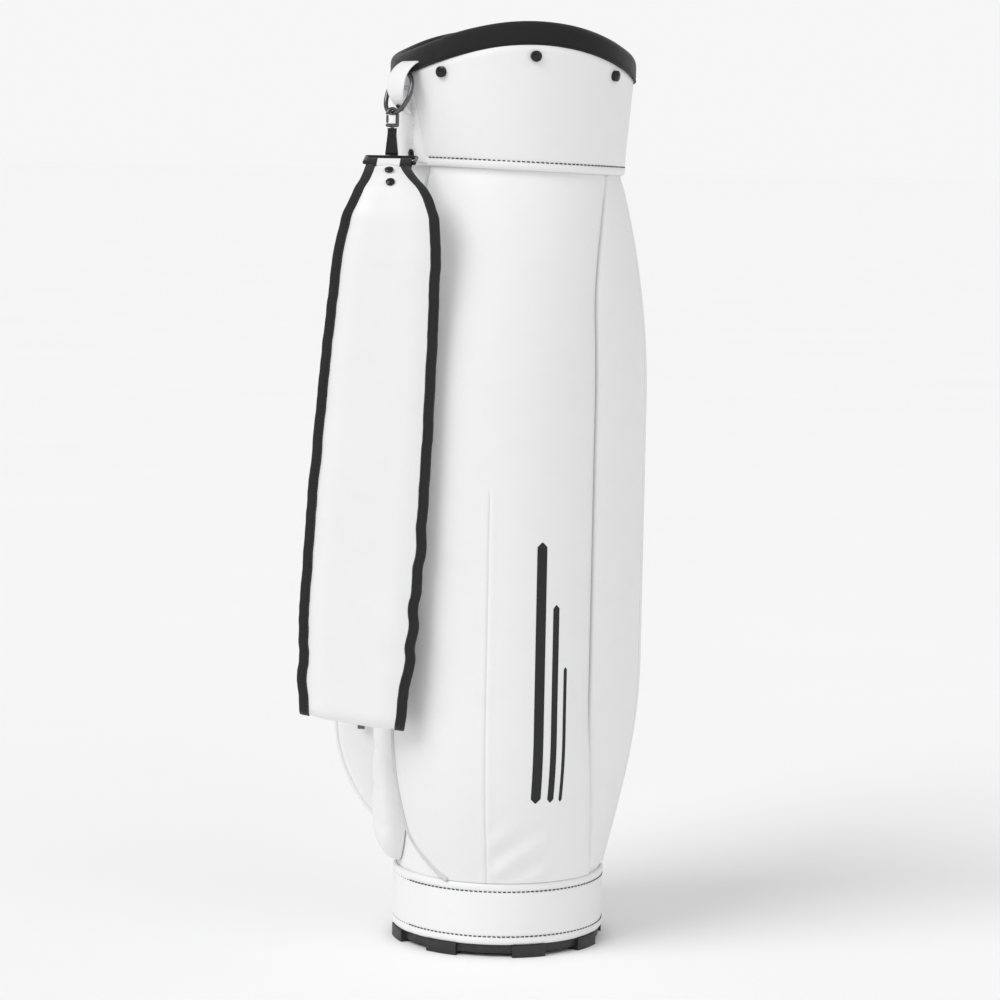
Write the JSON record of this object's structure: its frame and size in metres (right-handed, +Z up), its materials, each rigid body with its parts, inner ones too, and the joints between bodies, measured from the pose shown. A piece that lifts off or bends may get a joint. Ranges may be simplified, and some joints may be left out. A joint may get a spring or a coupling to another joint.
{
  "type": "golf staff bag",
  "caption": "Tall round golf bag with a tapered cuff, padded saddle rim, divided top, side and front pockets, moulded foot and a hanging padded shoulder strap.",
  "frame": {"origin": "on the ground, at the centre of the moulded base", "axes": "+Z up; spine at -X, front pocket at +X, near side pocket at -Y, far side pocket at +Y"},
  "size_m": [0.3482, 0.2909, 0.89],
  "materials": {
    "white_leather": "smooth grained white synthetic leather",
    "black_fabric": "woven black webbing",
    "divider_cloth": "brushed tricot",
    "black_plastic": "fine moulded texture",
    "stay_rod": "glass-fibre rod",
    "dark_metal": "polished gunmetal plating",
    "black_metal": "gloss black",
    "zip_tape": "woven tape with moulded teeth"
  },
  "bodies": {
    "bag": {"base_tray": "black_plastic", "tray_ring": "black_plastic", "base_band": "white_leather", "shell_front_panel": "white_leather", "shell_far_panel": "white_leather", "shell_spine_panel": "white_leather", "shell_near_panel": "white_leather", "stay_rods": "stay_rod", "divider_wall_long": "divider_cloth", "divider_walls_cross": "divider_cloth", "top_collar": "black_plastic", "divider_ring": "black_plastic", "divider_bars": "black_plastic", "top_cuff": "white_leather", "rim_padding": "black_fabric", "spine_cover": "white_leather", "snap_studs": "black_metal", "body_rivets": "black_metal", "ring_tab": "white_leather", "lower_ring_tab": "white_leather", "grab_handle": "white_leather", "near_side_pocket": "white_leather", "far_side_pocket": "white_leather", "front_pocket": "white_leather", "hip_pad": "white_leather", "near_zip_tape": "zip_tape", "far_zip_tape": "zip_tape", "front_zip_tape": "zip_tape"},
    "strap_ring": {"strap_ring": "dark_metal"},
    "snap_hook": {"snap_hook": "dark_metal"},
    "hook_gate": {"hook_gate": "dark_metal"},
    "hook_swivel": {"hook_swivel": "black_plastic"},
    "strap_loop": {"strap_loop": "dark_metal"},
    "strap": {"strap_pad": "white_leather", "strap_rivets": "black_metal", "strap_tail": "black_fabric", "strap_buckle": "black_plastic", "tail_hook": "dark_metal"},
    "lower_ring": {"lower_ring": "dark_metal"},
    "near_zip_slider": {"near_zip_slider": "dark_metal"},
    "near_zip_pull": {"near_zip_pull": "dark_metal"},
    "far_zip_slider": {"far_zip_slider": "dark_metal"},
    "far_zip_pull": {"far_zip_pull": "dark_metal"},
    "front_zip_slider": {"front_zip_slider": "dark_metal"},
    "front_zip_pull": {"front_zip_pull": "dark_metal"}
  },
  "joints": [
    {"name": "ring_swing", "type": "hinge", "parent": "bag", "child": "strap_ring", "pos_m": [-0.11237, -0.05003, 0.841], "axis": [-0.4067, 0.9135, 0], "range_deg": [0, 28]},
    {"name": "hook_swing", "type": "hinge", "parent": "strap_ring", "child": "snap_hook", "pos_m": [-0.12486, -0.05559, 0.80341], "axis": [-0.4067, 0.9135, 0], "range_deg": [0, 25]},
    {"name": "gate_open", "type": "hinge", "parent": "snap_hook", "child": "hook_gate", "pos_m": [-0.12989, -0.05783, 0.79531], "axis": [-0.4067, 0.9135, 0], "range_deg": [0, 16], "stiffness_Nm_per_rad": 0.002, "springref_deg": -11.46},
    {"name": "hook_turn", "type": "hinge", "parent": "snap_hook", "child": "hook_swivel", "pos_m": [-0.12486, -0.05559, 0.7895], "axis": [0, 0, -1], "range_deg": [0, 6]},
    {"name": "loop_tilt", "type": "hinge", "parent": "hook_swivel", "child": "strap_loop", "pos_m": [-0.12486, -0.05559, 0.762], "axis": [-0.9659, 0.2588, 0], "range_deg": [0, 20]},
    {"name": "strap_swing", "type": "hinge", "parent": "strap_loop", "child": "strap", "pos_m": [-0.12952, -0.07298, 0.757], "axis": [-0.9659, 0.2588, 0], "range_deg": [0, 30]},
    {"name": "lower_ring_swing", "type": "hinge", "parent": "bag", "child": "lower_ring", "pos_m": [-0.1072, 0, 0.468], "axis": [0, 1, 0], "range_deg": [0, 80]},
    {"name": "near_zip_slide", "type": "slide", "parent": "bag", "child": "near_zip_slider", "axis": [0, 0, 1], "range_m": [0, 0.179]},
    {"name": "near_pull_swing", "type": "hinge", "parent": "near_zip_slider", "child": "near_zip_pull", "pos_m": [-0.10468, -0.05333, 0.4655], "axis": [0.8572, 0.515, 0], "range_deg": [0, 150]},
    {"name": "far_zip_slide", "type": "slide", "parent": "bag", "child": "far_zip_slider", "axis": [0, 0, 1], "range_m": [0, 0.174]},
    {"name": "far_pull_swing", "type": "hinge", "parent": "far_zip_slider", "child": "far_zip_pull", "pos_m": [-0.13226, 0.04723, 0.2355], "axis": [-0.9205, 0.3907, 0], "range_deg": [0, 150]},
    {"name": "front_zip_slide", "type": "slide", "parent": "bag", "child": "front_zip_slider", "axis": [0, 0, 1], "range_m": [0, 0.209]},
    {"name": "front_pull_swing", "type": "hinge", "parent": "front_zip_slider", "child": "front_zip_pull", "pos_m": [0.12161, 0.07119, 0.2955], "axis": [0.587, -0.8096, 0], "range_deg": [0, 150]}
  ]
}
